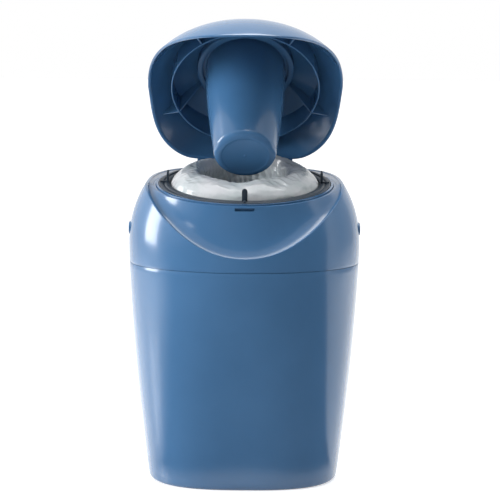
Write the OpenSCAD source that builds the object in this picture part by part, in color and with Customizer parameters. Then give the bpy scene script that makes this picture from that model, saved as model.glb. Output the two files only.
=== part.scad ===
// Nappy bin: a tub, a hinged top half with a twist-to-seal film cassette, and a domed lid with a plunger.
// Millimetres. The bin stands on z = 0, its front faces -y, and the lid is drawn open.

/* [Body] */
// Width of the barrel at its shoulder
body_w = 246; // [242:1:256]
// Depth of the barrel, front to back
body_d = 232; // [228:1:244]
// Height of the closed bin, to the top of the dome
closed_h = 368; // [362:1:378]
// Height of the tub, where the top half meets it
tub_h = 229; // [215:1:236]
// Height of the widest part of the barrel
shoulder_z = 250; // [242:1:256]
// How much narrower the tub's side is at the floor than at its rim
tub_taper = 22.2; // [10:1:30]
// Radius where the tub's side turns into its base
base_r = 4; // [3:0.5:8]
// Wall of the tub, the top half and the lid
wall = 2.6; // [2.2:0.1:3]
// Thickness of the tub's floor
floor_t = 3; // [2:0.1:5]
// Squareness of the plan at the floor, 2 is an ellipse
plan_floor = 2.75; // [2.2:0.05:3]
// Squareness of the front half of the plan, from the rim up
plan_front = 2.08; // [2:0.01:2.4]
// Squareness of the back half of the plan, from the rim up
plan_back = 3.15; // [2.2:0.05:3.3]

/* [Split between tub and top half] */
// Gap seen between the tub and the top half
split_gap = 0.4; // [0.2:0.05:1]
// Height of the tub's lip inside the top half
lip_h = 4.5; // [3:0.1:7]
// Thickness of that lip
lip_t = 1.2; // [0.8:0.1:1.4]

/* [Deck and ring seat] */
// Height of the ring's centre
deck_z = 313.5; // [308:0.5:318]
// Tilt of the ring, down to the front
deck_tilt = 9.2; // [6:0.2:11]
// Height of the deck's front crease
crease_z = 313.5; // [309:0.5:316]
// Height of the crescent's lowest point
crescent_z = 244; // [240:1:252]
// Depth of the lid's seat at the crescent's arms
seat_step = 4.5; // [1:0.1:6]
// Room beside the well, from its bore to the barrel's side
well_side = 30.8; // [30:0.1:34]
// Wall of the well
well_wall = 2.3; // [1.8:0.1:3]
// Depth of the well below the ring's plane
well_depth = 68.5; // [66:0.5:72]
// How far the well's ledge reaches in past the cassette's throat
ledge_in = 2; // [0:0.5:4]

/* [Twist ring and cassette] */
// Width of the twist ring, with the gap round it
ring_w = 12.2; // [11.2:0.1:13.2]
// Gap round the twist ring
ring_gap = 0.7; // [0.4:0.05:1.2]
// Thickness of the ring's flange
ring_t = 2.5; // [2:0.1:4]
// Height of the grip posts
post_h = 13; // [8:0.5:16]
// Width of a grip post
post_w = 5.8; // [4:0.1:9]
// Thickness of a grip post, outwards
post_t = 2.4; // [2:0.1:3]
// Width of the cassette and its carrier, from the well's bore to the throat
cassette_w = 23.2; // [22:0.2:26]
// Wall of the cassette and its carrier
cassette_wall = 1.6; // [1.2:0.1:2.2]
// Running clearance of the carrier in the well
run_gap = 0.08; // [0.02:0.01:0.1]

/* [Lid] */
// Angle that the lid stands open
lid_open = 58; // [40:0.5:60]
// Distance of the lid's hinge axis in from the barrel's back
hinge_in = 12; // [10:0.5:13]
// Height of the lid's hinge axis
hinge_z = 330; // [328:0.5:331]
// Distance of the lid's flat back in front of its hinge axis
back_in = 6.4; // [6:0.1:7]
// How far the skirt under the lid reaches over the ring's inner edge
skirt_over = 0.2; // [-4:0.1:0.4]
// Height of the skirt's edge above the ring's plane
skirt_edge = 1.5; // [1:0.1:4]
// Thickness of the skirt and ribs
rib_t = 2; // [1.4:0.1:3]
// Radius of the plunger's end
plunger_tip_r = 33; // [28:0.5:35]
// Rounding of that end's edge
tip_round = 7.5; // [4:0.5:10]
// Radius of the plunger at its root
plunger_root_r = 43.7; // [40:0.1:45]
// Reach of the plunger below the skirt's edge
plunger_reach = 101; // [70:1:102]
// Wall of the plunger
plunger_wall = 2.2; // [1.6:0.1:3]

/* [Hinges and release buttons] */
// Radius of the lid's hinge pins
lid_pin_r = 2; // [1.5:0.1:2.5]
// Outer radius of the lid's hinge knuckles
lid_knuckle_r = 5.2; // [4:0.1:5.6]
// Width of one hinge ear on the deck
ear_w = 9; // [6:0.5:12]
// Radius of the tub's hinge pin
tub_pin_r = 2.5; // [1.5:0.1:3]
// Outer radius of the tub's hinge knuckles
tub_knuckle_r = 4.6; // [4:0.1:5]
// Clearance of a pin in the knuckle that turns on it
pin_gap = 0.05; // [0.01:0.01:0.1]
// Width of a release button
button_w = 26; // [18:1:34]
// Height of a release button
button_h = 13; // [10:0.5:16]
// Height of the buttons' middle above the barrel's widest part
button_rise = 14.5; // [10:0.5:18]
// Travel of a button
button_travel = 4; // [3:0.1:4.5]

/* [Film] */
// Height of the film's crest above the ring's plane
film_crest = 14; // [8:0.5:16]
// Radius of the film tube in the throat
film_throat_r = 45; // [42:0.5:47]
// Thickness that stands for the creased film
film_t = 1.2; // [0.8:0.1:2]
// Length of the knotted film below the gripper
bag_len = 88; // [50:1:110]

/* [Hidden] */
$fn = 96;

body_blue = [0.33, 0.49, 0.69];
ring_grey = [0.33, 0.36, 0.4];
film_white = [0.9, 0.93, 0.94];
cassette_green = [0.55, 0.72, 0.66];
steel = [0.72, 0.74, 0.76];

// ---- form of the closed bin ----
sides = 60;          // points round the barrel
seat_gap = 0.3;      // between pieces that sit on each other
taper_share = 0.48;  // share of the tub's taper that is straight, the rest is belly
depth_taper = 0.78;  // the depth tapers less than the width
split_in = 0.4;      // the rim is this much narrower, each side, than the shoulder
dome_side = 2.06;    // squareness of the dome seen from the front
dome_front = 2;      // squareness of the dome's front half seen from the side
dome_back = 2.9;     // squareness of its back half
front_lead = 3;      // the front starts to lean back this far below the rim

function signed_pow(v, p) = sign(v) * pow(abs(v), p);
function arch(s, p) = pow(max(0, 1 - pow(max(0, s), p)), 1 / p);
function mix(a, b, f) = a + (b - a) * f;
function smooth(f) = let (c = min(1, max(0, f))) c * c * (3 - 2 * c);
function plan_n(t, z) =
    mix(plan_floor, mix(plan_front, plan_back, smooth(0.55 + 5.7 * sin(t))), min(1, z / tub_h));
function low(z) = 1 - z / tub_h;
function tub_in(z) = tub_taper * (taper_share * low(z) + (1 - taper_share) * pow(low(z), 2));

// half width, front reach and back reach at a height, drawn in by a wall g
function reach_x(z, g) =
    z < tub_h ? body_w / 2 - split_in - g - tub_in(z)
    : z < shoulder_z ? body_w / 2 - g - split_in * pow((shoulder_z - z) / (shoulder_z - tub_h), 2)
    : (body_w / 2 - g) * arch((z - shoulder_z) / (closed_h - g - shoulder_z), dome_side);
function reach_front(z, g) =
    z < tub_h ? body_d / 2 - g - depth_taper * tub_in(z)
    : (body_d / 2 - g) * arch((z - tub_h + front_lead) / (closed_h - g - tub_h + front_lead), dome_front);
function reach_back(z, g) =
    z < tub_h ? body_d / 2 - g - depth_taper * tub_in(z)
    : z < shoulder_z ? body_d / 2 - g
    : (body_d / 2 - g) * arch((z - shoulder_z) / (closed_h - g - shoulder_z), dome_back);
function form_point(t, z, g = 0) =
    let (p = 2 / plan_n(t, z), s = signed_pow(sin(t), p))
    [reach_x(z, g) * signed_pow(cos(t), p), s * (s < 0 ? reach_front(z, g) : reach_back(z, g)), z];
function form_ring(z, g = 0) = [for (i = [0 : sides - 1]) form_point(360 * i / sides, z, g)];

// seam between lid and top half, the same all the way across: it falls to the front in a crescent
deck_rise = 0.09;      // slope of the flat deck to the back
seam_fall = 0.15;      // slope of the seam just in front of the crease
crease_ease = 40;      // the crease is rounded this far to each side
crescent_power = 2.5;  // how late the crescent falls
// how far a point lies in front of the crease, rounded
function before_crease(y) =
    y > crease_ease ? 0 : y < -crease_ease ? -y : pow(crease_ease - y, 2) / 4 / crease_ease;
function seam_z(y) = let (reach = body_d / 2 - 1, fall = crease_z - crescent_z - seam_fall * reach)
    crease_z + deck_rise * y - (seam_fall - deck_rise) * before_crease(y)
    - fall * pow(max(0, -y) / reach, crescent_power);
function seam_at(t, g, lift, z = 280, turns = 12) =
    turns == 0 ? z : seam_at(t, g, lift, mix(z, seam_z(form_point(t, z, g)[1]) + lift, 0.7), turns - 1);

// frame of the ring: turn about its tilted axis
module on_deck() translate([0, 0, deck_z]) rotate([deck_tilt, 0, 0]) children();
function deck_point(r, a, d) =
    let (u = r * sin(a))
    [r * cos(a), u * cos(deck_tilt) - d * sin(deck_tilt), deck_z + u * sin(deck_tilt) + d * cos(deck_tilt)];
module turned(points) rotate_extrude() polygon(points);
// tube between two radii and two heights
module tube(r_in, r_out, low_z, high_z)
    turned([[r_in, low_z], [r_out, low_z], [r_out, high_z], [r_in, high_z]]);

// solid through rings of points: capped at both ends, or closed on itself
module through_rings(rings, loop = false) {
    n = len(rings[0]);
    m = len(rings);
    skin = [for (k = [0 : m - (loop ? 1 : 2)], i = [0 : n - 1])
        let (a = k * n, b = (k + 1) % m * n, j = (i + 1) % n)
        each [[a + i, b + i, b + j], [a + i, b + j, a + j]]];
    ends = loop ? [] : [[for (i = [0 : n - 1]) i], [for (i = [n - 1 : -1 : 0]) (m - 1) * n + i]];
    polyhedron([for (r = rings) each r], concat(skin, ends), convexity = 8);
}

// ---- places that follow the form ----
slot_z = deck_z - 21;     // latch slot under the ring's front
front_room = 7.4;         // from the well's bore to the lid's inner face, at the slot
well_r = min(body_w / 2 - well_side, reach_front(slot_z, wall) - front_room);
ring_in_r = well_r - ring_w;
throat_r = well_r - cassette_w;
ledge_r = throat_r - ledge_in;
skirt_r = ring_in_r + skirt_over;
hinge_y = body_d / 2 - hinge_in;
lid_back = hinge_y - back_in;
button_z = shoulder_z + button_rise;

// ---- tub ----
pin_y = body_d / 2 + tub_knuckle_r + 0.9;  // hinge axis behind the barrel
pin_z = tub_h + split_gap / 2;
middle_knuckle_w = 27;   // the top half's knuckle
side_knuckle_w = 10;     // each of the tub's knuckles
knuckle_gap = 0.4;
arm_x = body_w / 2 - 9;    // outer face of a button's latch arm
strike_x = arm_x + 0.8;    // inner end of the strike that the arm's nose meets
strike_z = tub_h - 7;

function tub_ring(z, g) = form_ring(z, g);
base_turn = [for (a = [0 : 30 : 60]) [base_r * (1 - cos(a)), base_r * (1 - sin(a))]];
inner_turn = base_r - wall;

module tub() color(body_blue) difference() {
    union() {
        through_rings(concat(
            [for (b = base_turn) tub_ring(b[0], b[1])],
            [for (z = [base_r : (tub_h - base_r) / 7 : tub_h + 0.01]) tub_ring(min(z, tub_h), 0)],
            [tub_ring(tub_h, wall - lip_t)],
            [tub_rim_ring(wall - lip_t), tub_rim_ring(wall)],
            [for (z = [tub_h : -(tub_h - base_r - floor_t) / 6 : base_r + floor_t - 0.01])
                tub_ring(max(z, base_r + floor_t), wall)],
            [for (a = [60 : -30 : 0])
                tub_ring(floor_t + base_r * (1 - cos(a)), wall + inner_turn * (1 - sin(a)))]));
        for (s = [-1, 1])
            knuckle(s * (middle_knuckle_w + 2 * knuckle_gap + side_knuckle_w) / 2, side_knuckle_w, pin_y, pin_z,
                tub_knuckle_r, [[pin_y + 1, pin_z - tub_knuckle_r + 0.6],
                [body_d / 2 - wall / 2, pin_z - 3 * tub_knuckle_r], [body_d / 2 - wall / 2, pin_z - 1.5],
                [pin_y, pin_z - 1]]);
        for (s = [0, 1]) mirror([s, 0, 0])
            translate([strike_x, -8, strike_z - 1.5]) cube([reach_x(strike_z, wall / 2) - strike_x, 16, 3]);
    }
    across(pin_y, pin_z) cylinder(r = tub_pin_r + 0.02, h = body_w, center = true);
}
// the lip keeps the plan of the rim, lifted into the top half
function tub_rim_ring(g) = [for (p = tub_ring(tub_h, g)) [p[0], p[1], tub_h + lip_h]];

// turn a piece drawn along z so that it lies along x through (y, z)
module across(y, z) translate([0, y, z]) rotate([0, 90, 0]) children();
// outline in the y, z plane made w thick about x
module side_plate(x, w, outline) translate([x - w / 2, 0, 0]) rotate([90, 0, 90])
    linear_extrude(w) polygon(outline);
module knuckle(x, w, y, z, r, web) {
    across(y, z) translate([0, 0, x - w / 2]) cylinder(r = r, h = w);
    side_plate(x, w, web);
}

module tub_hinge_pin() color(steel)
    across(pin_y, pin_z) cylinder(r = tub_pin_r, h = middle_knuckle_w + 2 * knuckle_gap + 2 * side_knuckle_w,
        center = true);

// ---- top half ----
rim_t = wall;             // width of the seat that the lid's edge meets
ring_seat_r = well_r + well_wall + seat_gap;
ring_lip_r = ring_seat_r + wall;
front_lip = -2.2;         // height of the lip's top at the front, from the ring's plane
scoop_steps = 4;
boss_angles = [22, 66, 114, 158];
boss_r = 3.6;
screw_r = 1.5;
boss_reach = ring_seat_r + boss_r + 1;
boss_drop = 14;           // the bosses hang this far below the deck

// how much of the scoop's hollow shows at an angle: none on the deck, all at the front
function scoop(a) = smooth(-sin(a) * 2.2);
// the seat's step fades out at the crescent's lowest point and on the deck
function seat_drop(a) = 0.8 + (seat_step - 0.8) * smooth(-sin(a) * 4) * smooth((0.86 + sin(a)) * 3);
// the lip lies in the ring's tilted plane at the front and comes down to the deck at the back
function lip_depth(r, a) = let (y = r * sin(a))
    min(front_lip, (crease_z - 1 + deck_rise * y - deck_z - y * sin(deck_tilt)) / cos(deck_tilt));
function lip_point(r, a, drop = 0) = deck_point(r, a, lip_depth(r, a) - drop);
function scoop_point(t, f, thick) =
    let (q_z = seam_at(t, 0, 0), q = form_point(t, q_z, rim_t + 0.6), a = atan2(q[1], q[0]), w = scoop(a),
        top = lip_point(ring_lip_r, t), foot = [q[0], q[1], q_z - seat_drop(a)],
        cove = [top[0] * 1.012, top[1] * 1.012, foot[2] + 2],
        bend = mix((top + foot) / 2, cove, 0.72 * w),
        p = (1 - f) * (1 - f) * top + 2 * f * (1 - f) * bend + f * f * foot,
        turn = 90 * mix(1, f, w))
    [p[0] - thick * cos(turn) * cos(a), p[1] - thick * cos(turn) * sin(a), p[2] - thick * sin(turn)];
function around(f) = [for (i = [0 : sides - 1]) f(360 * i / sides)];
function housing_ring(share, g) = around(function (t)
    form_point(t, mix(tub_h + split_gap, seam_at(t, 0, 0), share), g));
function lip_ring(r, drop) = around(function (t) lip_point(r, t, drop));
function seat_ring(g, drop) = around(function (t)
    let (q_z = seam_at(t, 0, 0), q = form_point(t, q_z, g)) [q[0], q[1], q_z - drop]);
function seat_foot_ring(g, drop) = around(function (t)
    let (q_z = seam_at(t, 0, 0), q = form_point(t, q_z, g), a = atan2(q[1], q[0]))
    [q[0], q[1], q_z - seat_drop(a) - drop]);
function inner_housing_ring(share) = around(function (t)
    let (q_z = seam_at(t, 0, 0), q = form_point(t, q_z, 0), top = q_z - seat_drop(atan2(q[1], q[0])) - wall)
    form_point(t, mix(tub_h + split_gap + lip_h + 0.6, top, share), wall));
rebate = wall - lip_t - seat_gap;  // the thin edge outside the tub's lip
rebate_z = tub_h + split_gap + lip_h + 0.6;

module upper_housing() color(body_blue) difference() {
    union() {
        through_rings(concat(
            [for (s = [0, 0.2, 0.4, 0.6, 0.8]) housing_ring(s, 0)],
            [seat_ring(0, 0), seat_ring(rim_t, 0.2), seat_foot_ring(rim_t + 0.6, 0)],
            [for (k = [scoop_steps : -1 : 1]) around(function (t) scoop_point(t, k / (scoop_steps + 1), 0))],
            [lip_ring(ring_lip_r, 0), lip_ring(ring_seat_r, 0), lip_ring(ring_seat_r, wall + 1)],
            [for (k = [1 : scoop_steps]) around(function (t) scoop_point(t, k / (scoop_steps + 1), wall))],
            [inner_housing_ring(1), inner_housing_ring(0.5)],
            [housing_edge_ring(wall, rebate_z), housing_edge_ring(rebate, rebate_z),
                housing_edge_ring(rebate, tub_h + split_gap)]), loop = true);
        for (s = [-1, 1])
            knuckle(s * (ear_x + ear_w / 2), ear_w, hinge_y, hinge_z, lid_knuckle_r, ear_web);
        knuckle(0, middle_knuckle_w, pin_y, pin_z, tub_knuckle_r,
            [[pin_y, pin_z + 1], [body_d / 2 - wall / 2, pin_z + 1.5],
            [body_d / 2 - wall / 2, pin_z + 3 * tub_knuckle_r], [pin_y + 1, pin_z + tub_knuckle_r - 0.6]]);
        for (a = boss_angles) boss_at(a) cylinder(r = boss_r, h = boss_drop);
    }
    across(hinge_y, hinge_z) cylinder(r = lid_pin_r + pin_gap, h = body_w, center = true);
    across(pin_y, pin_z) cylinder(r = tub_pin_r + pin_gap, h = body_w, center = true);
    for (a = boss_angles) boss_at(a) translate([0, 0, -1]) cylinder(r = screw_r, h = boss_drop - wall);
    for (s = [-1, 1]) button_prism(s, 0.5, body_w / 2 - 12, body_w / 2 + 6);
    latch_slot();
}
function housing_edge_ring(g, z) = [for (p = form_ring(tub_h, g)) [p[0], p[1], z]];
// foot of a screw boss, hanging under the deck beside the well, which leans back
well_lean = 18 * tan(deck_tilt);
module boss_at(a) translate([boss_reach * cos(a), boss_reach * sin(a) + well_lean,
    deck_under(boss_reach * sin(a)) - boss_drop]) children();
function deck_under(y) = crease_z - 1.8 + deck_rise * y;

slot_w = 20;
slot_h = 3;
module latch_slot() translate([0, -ring_lip_r, slot_z]) cube([slot_w, 16, slot_h], center = true);

// ---- well under the deck ----
well_top = -0.6;
ledge_t = 2.4;
well_outer = well_r + well_wall;
ear_flange_t = 3;
ear_reach = 12;           // the ears run into the well's wall, which trims them
ear_outline = [for (a = [-90 : 15 : 90]) boss_r * [cos(a), sin(a)],
    [-ear_reach, boss_r - 1], [-ear_reach, 1 - boss_r]];
spring_post_r = 4.2;
spring_post_end = body_w / 2 - 20;
spring_in = 2.5;
spring_out = 3.4;

module cassette_well() color(body_blue) difference() {
    union() {
        on_deck() turned([[ledge_r, -well_depth], [well_outer, -well_depth], [well_outer, well_top],
            [well_r, well_top], [well_r, ledge_t - well_depth], [ledge_r, ledge_t - well_depth]]);
        difference() {
            for (a = boss_angles) boss_at(a) translate([0, 0, -seat_gap - ear_flange_t]) rotate([0, 0, a])
                linear_extrude(ear_flange_t) polygon(ear_outline);
            on_deck() cylinder(r = well_r + well_wall / 2, h = 4 * well_depth, center = true);
        }
        for (s = [-1, 1]) difference() {
            translate([0, 0, button_z]) rotate([0, s * 90, 0]) cylinder(r = spring_post_r, h = spring_post_end);
            on_deck() cylinder(r = well_r + well_wall / 2, h = 4 * well_depth, center = true);
        }
    }
    for (a = boss_angles) boss_at(a) translate([0, 0, -10]) cylinder(r = screw_r + 0.3, h = 20);
    // the back of the rim is cut down level with the deck
    translate([0, 0, crease_z + 1.5]) rotate([atan(deck_rise), 0, 0]) translate([-body_w / 2, 1, 0])
        cube([body_w, body_d, 40]);
    for (a = gripper_screw_angles) gripper_screw_at(a) cylinder(r = screw_r, h = 20, center = true);
}

// pan-head screw along z, its head below
module screw(length) {
    cylinder(r = screw_r - 0.02, h = length);
    translate([0, 0, -2]) cylinder(r = 2 * screw_r, h = 2);
}
module well_screws() color(steel)
    for (a = boss_angles) boss_at(a) translate([0, 0, -seat_gap - ear_flange_t]) screw(12);

// ---- film gripper under the well ----
finger_count = 12;
finger_end = 101;         // depth of the fingers' tips
finger_tip_r = 37.5;
finger_t = 1.5;
gripper_flange_r = 76;
gripper_screw_angles = [30, 150, 270];
gripper_screw_r = 71;
gripper_top = -well_depth - seat_gap;
module gripper_screw_at(a)
    on_deck() rotate([0, 0, a]) translate([gripper_screw_r, 0, gripper_top - 2]) children();

module film_gripper() color(ring_grey) difference() {
    on_deck() turned([[finger_tip_r, -finger_end], [finger_tip_r + finger_t, -finger_end - 0.6],
        [ledge_r - 2 + finger_t, gripper_top - 2.2], [gripper_flange_r, gripper_top - 2.2],
        [gripper_flange_r, gripper_top], [ledge_r - 2, gripper_top]]);
    for (k = [0 : finger_count - 1]) on_deck() rotate([0, 0, (k + 0.5) * 360 / finger_count])
        translate([20, -1.1, -finger_end - 5]) cube([40, 2.2, finger_end - well_depth + 1]);
    for (a = gripper_screw_angles) gripper_screw_at(a) cylinder(r = screw_r + 0.3, h = 20, center = true);
}
module gripper_screws() color(steel)
    for (a = gripper_screw_angles) gripper_screw_at(a) translate([0, 0, -0.2]) screw(4.3);

// ---- film cutter beside the gripper ----
cutter_angle = 210;
cutter_in = 78.5;
cutter_w = 13;
cutter_l = 30;
cutter_h = 17;
blade_t = 0.6;
module at_cutter() on_deck() rotate([0, 0, cutter_angle]) translate([cutter_in, 0, gripper_top]) children();
module cutter_body() color(ring_grey) at_cutter() difference() {
    translate([0, -cutter_l / 2, -cutter_h]) cube([cutter_w, cutter_l, cutter_h]);
    translate([-1, -cutter_l / 2 - 1, -12]) cube([cutter_w + 2, cutter_l - 9, 4]);
    translate([cutter_w / 2 - blade_t / 2 - 0.05, -8, -15]) cube([blade_t + 0.1, 20, 10]);
}
module cutter_blade() color(steel) at_cutter() translate([cutter_w / 2 - blade_t / 2, 0, -10])
    rotate([90, 0, 90]) linear_extrude(blade_t)
        polygon([[11.8, -4.8], [11.8, 4.8], [5, 4.8], [-6, -0.5], [-7, -4.8]]);

// ---- carrier, twist ring and cassette ----
carrier_floor = ledge_t - well_depth + seat_gap;
carrier_r = well_r - 2.8;
cassette_out = carrier_r - 2 - seat_gap;
cassette_low = carrier_floor + 2 + seat_gap;
cassette_top = -9;
ring_out_r = well_r - ring_gap;
post_in_r = skirt_r + 0.6;

module cassette_carrier() color(ring_grey) on_deck() turned([[throat_r, carrier_floor],
    [well_r - run_gap, carrier_floor], [well_r - run_gap, carrier_floor + 5], [carrier_r, carrier_floor + 7],
    [carrier_r, -ring_t - seat_gap], [carrier_r - 2, -ring_t - seat_gap], [carrier_r - 2, carrier_floor + 2],
    [throat_r, carrier_floor + 2]]);

module twist_ring() color(ring_grey) on_deck() {
    turned([[ring_in_r, -ring_t], [cassette_out - 1.8, -ring_t], [cassette_out - 1.8, -ring_t - 4],
        [cassette_out, -ring_t - 4], [cassette_out, -ring_t], [ring_out_r, -ring_t], [ring_out_r, -0.5],
        [ring_out_r - 0.5, 0], [ring_out_r - 4.4, 0], [ring_out_r - 4.8, -0.6], [ring_out_r - 6.2, -0.6],
        [ring_out_r - 6.6, 0], [ring_in_r + 0.5, 0], [ring_in_r, -0.5]]);
    for (a = [-180, -90, 0]) rotate([0, 0, a]) {
        grip_post();
        translate([post_in_r + 1, -1.2, -1]) cube([ring_out_r - post_in_r - 2, 2.4, 2.2]);
    }
}
// upright tab with a round top, fused to the flange
module grip_post() intersection() {
    tube(post_in_r, post_in_r + post_t, -1.5, post_h);
    union() {
        translate([post_in_r, -post_w / 2, -2]) cube([2 * post_t, post_w, post_h - post_w / 2 + 2]);
        translate([post_in_r - 1, 0, post_h - post_w / 2]) rotate([0, 90, 0])
            cylinder(d = post_w, h = 3 * post_t);
    }
}

module cassette_body() color(cassette_green) on_deck() turned([[throat_r, cassette_low],
    [cassette_out, cassette_low], [cassette_out, cassette_top], [cassette_out - cassette_wall, cassette_top],
    [cassette_out - cassette_wall, cassette_low + cassette_wall],
    [throat_r + cassette_wall, cassette_low + cassette_wall], [throat_r + cassette_wall, cassette_top - 3],
    [throat_r, cassette_top - 3]]);
module cassette_cap() color(cassette_green) on_deck() turned([[throat_r + 3, cassette_top],
    [cassette_out, cassette_top], [cassette_out, cassette_top + cassette_wall],
    [throat_r + 4, cassette_top + cassette_wall], [throat_r + 3, cassette_top + 1]]);
module film_pack() color(film_white) on_deck()
    tube(throat_r + cassette_wall + 0.5, cassette_out - cassette_wall - 0.5,
        cassette_low + cassette_wall, cassette_top - 1.5);

// ---- film pulled over the throat ----
film_sides = 44;
film_edge_r = ring_in_r - 0.8;
// share of the way in to the throat, share of the crest's height
film_shares = [[0, -0.4], [0.06, 0.13], [0.19, 0.5], [0.39, 0.83], [0.65, 1], [0.815, 0.83], [0.94, 0.3]];
film_profile = [for (f = film_shares) [mix(film_edge_r, film_throat_r, f[0]), f[1]]];
film_end_r = finger_tip_r - film_t - 1.5;
// height in the throat, share of the way in to the fingers' tips
film_tube = [[-6, 0], [-24, 0.2], [-44, 0.34], [-66, 0.58], [-84, 0.79], [-finger_end - 0.6, 1]];
// soft lumps round the film, none at its held edges
function lump(a, k) = sin(3 * a + 50 * k) * 0.5 + sin(7 * a + 110 * k) * 0.3 + sin(11 * a - 70 * k) * 0.2;
function film_ring(k, off) = [for (i = [0 : film_sides - 1])
    let (a = 360 * i / film_sides, p = film_profile[k], free = sin(180 * k / 6))
    deck_point(p[0] - off * 0.4 * (k > 4 ? -2 : 1), a, p[1] * film_crest + free * 2.2 * lump(a, k) - off)];
function tube_ring(k, off) = [for (i = [0 : film_sides - 1])
    let (a = 360 * i / film_sides, r = mix(film_throat_r, film_end_r, film_tube[k][1]))
    deck_point(r + off + 0.35 * (lump(a, k) + 1) * (k < 5 ? 1 : 0), a, film_tube[k][0])];
module film_mound() color(film_white) through_rings(concat(
    [for (k = [0 : 6]) film_ring(k, 0)], [for (k = [0 : 5]) tube_ring(k, 0)],
    [for (k = [5 : -1 : 0]) tube_ring(k, film_t)], [for (k = [6 : -1 : 0]) film_ring(k, film_t)]), loop = true);

// twisted neck, hanging parcel and knot, on a plumb line below the gripper
bag_top = deck_point(0, 0, -finger_end - 0.9);
bag_sides = 28;
// share of the length, radius
bag_profile = [[0, 38.5], [0.04, 24], [0.12, 8], [0.2, 6], [0.3, 12], [0.45, 24], [0.62, 28], [0.78, 21],
    [0.88, 8], [0.93, 9], [1, 5]];
module film_bag() color(film_white) through_rings([for (k = [len(bag_profile) - 1 : -1 : 0])
    let (p = bag_profile[k], lean = k == 0 ? deck_tilt : 0)
    [for (i = [0 : bag_sides - 1]) let (a = 360 * i / bag_sides, r = p[1] * (1 + 0.07 * sin(7 * a + 300 * p[0])))
        [r * cos(a), bag_top[1] + r * sin(a), bag_top[2] - bag_len * p[0] + r * sin(a) * tan(lean)]]]);

// ---- lid, drawn closed and swung open about its hinge ----
lid_gap = 0.6;            // seam between the lid and the top half
lid_steps = 8;
crown_flat = 0.4;
ear_x = 44;               // inner face of the deck's hinge ears
ear_web = [[hinge_y - lid_knuckle_r + 0.5, hinge_z], [hinge_y - lid_knuckle_r + 0.5, crease_z + 5.5],
    [hinge_y + lid_knuckle_r - 1.5, crease_z + 4], [hinge_y + lid_knuckle_r - 0.7, hinge_z]];
lid_knuckle_w = 10;
lid_knuckle_x = ear_x - knuckle_gap - lid_knuckle_w / 2;

module swung()
    translate([0, hinge_y, hinge_z]) rotate([-lid_open, 0, 0]) translate([0, -hinge_y, -hinge_z]) children();
// the lid's back is a flat panel, so its outline stops at a plane
function lid_point(t, z, g) = let (p = form_point(t, z, g)) [p[0], min(p[1], lid_back - g), z];
function lid_ring(share, g) = [for (i = [sides - 1 : -1 : 0])
    let (t = 360 * i / sides, z = min(seam_at(t, 0, lid_gap), seam_z(lid_back) + lid_gap))
    lid_point(t, mix(z, closed_h - g - crown_flat, share), g)];
function lid_share(k) = sin(90 * k / lid_steps);
module lid_shell() color(body_blue) swung() difference() {
    union() {
        through_rings(concat([for (k = [lid_steps : -1 : 0]) lid_ring(lid_share(k), 0)],
            [for (k = [0 : lid_steps]) lid_ring(lid_share(k), wall)]));
        for (s = [-1, 1])
            knuckle(s * lid_knuckle_x, lid_knuckle_w, hinge_y, hinge_z, lid_knuckle_r,
                [[hinge_y, hinge_z + 3.5], [lid_back - 1, hinge_z + 3.5], [lid_back - 1, hinge_z - 6.5],
                [hinge_y - 1, hinge_z - 4]]);
    }
    across(hinge_y, hinge_z) cylinder(r = lid_pin_r + 0.02, h = body_w, center = true);
}
module lid_hinge_pins() color(steel) swung()
    for (s = [-1, 1]) across(hinge_y, hinge_z)
        translate([0, 0, s * ear_x]) cylinder(r = lid_pin_r, h = 2 * (lid_knuckle_w - 1.5), center = true);

// everything under the dome, to trim the liner to the shell
module under_dome(g) through_rings([for (k = [lid_steps : -1 : 0]) lid_ring(lid_share(k), g)]);

collar_in = plunger_root_r + 2.9;
collar_out = collar_in + 6.1;
collar_edge = 32.5;       // height of the collar's lower edge above the ring's plane
rib_angles = [-125.5, -54.5, 25, 155];
rib_outer = skirt_r * 1.25;
module lid_liner() color(body_blue) swung() intersection() {
    on_deck() {
        tube(skirt_r - rib_t, skirt_r, skirt_edge, 60);
        difference() {
            tube(collar_in, collar_out, collar_edge, 60);
            translate([0, 0, collar_edge + 3]) cylinder(r = collar_out - 2, h = 3);
        }
        for (a = rib_angles) rotate([90, 0, a]) translate([0, 0, -rib_t / 2]) linear_extrude(rib_t)
            polygon([[collar_out - 1, collar_edge + 3], [skirt_r - 1, skirt_edge + 0.5],
                [rib_outer, skirt_edge + 5], [rib_outer, 60], [collar_out - 1, 60]]);
    }
    under_dome(wall + seat_gap);
}

module plunger() color(body_blue) swung() on_deck() {
    top = collar_edge + 5.6;
    tip = skirt_edge - plunger_reach;
    waist_r = mix(plunger_tip_r, plunger_root_r, 0.71);
    waist_z = mix(tip, collar_edge, 0.55);
    flat_r = plunger_tip_r - tip_round;
    corner = [for (a = [0 : 15 : 90]) [flat_r + tip_round * sin(a), tip + tip_round * (1 - cos(a))]];
    inner_round = tip_round - plunger_wall;
    inner = [for (a = [90 : -15 : 0]) [flat_r + inner_round * sin(a), tip + tip_round - inner_round * cos(a)]];
    turned(concat([[0, tip]], corner, [[waist_r, waist_z], [plunger_root_r, collar_edge],
        [plunger_root_r, top - 2.2], [collar_out - 2.3, top - 2.2], [collar_out - 2.3, top],
        [plunger_root_r - plunger_wall, top], [plunger_root_r - plunger_wall, collar_edge],
        [waist_r - plunger_wall, waist_z]], inner, [[0, tip + plunger_wall]]));
}

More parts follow.
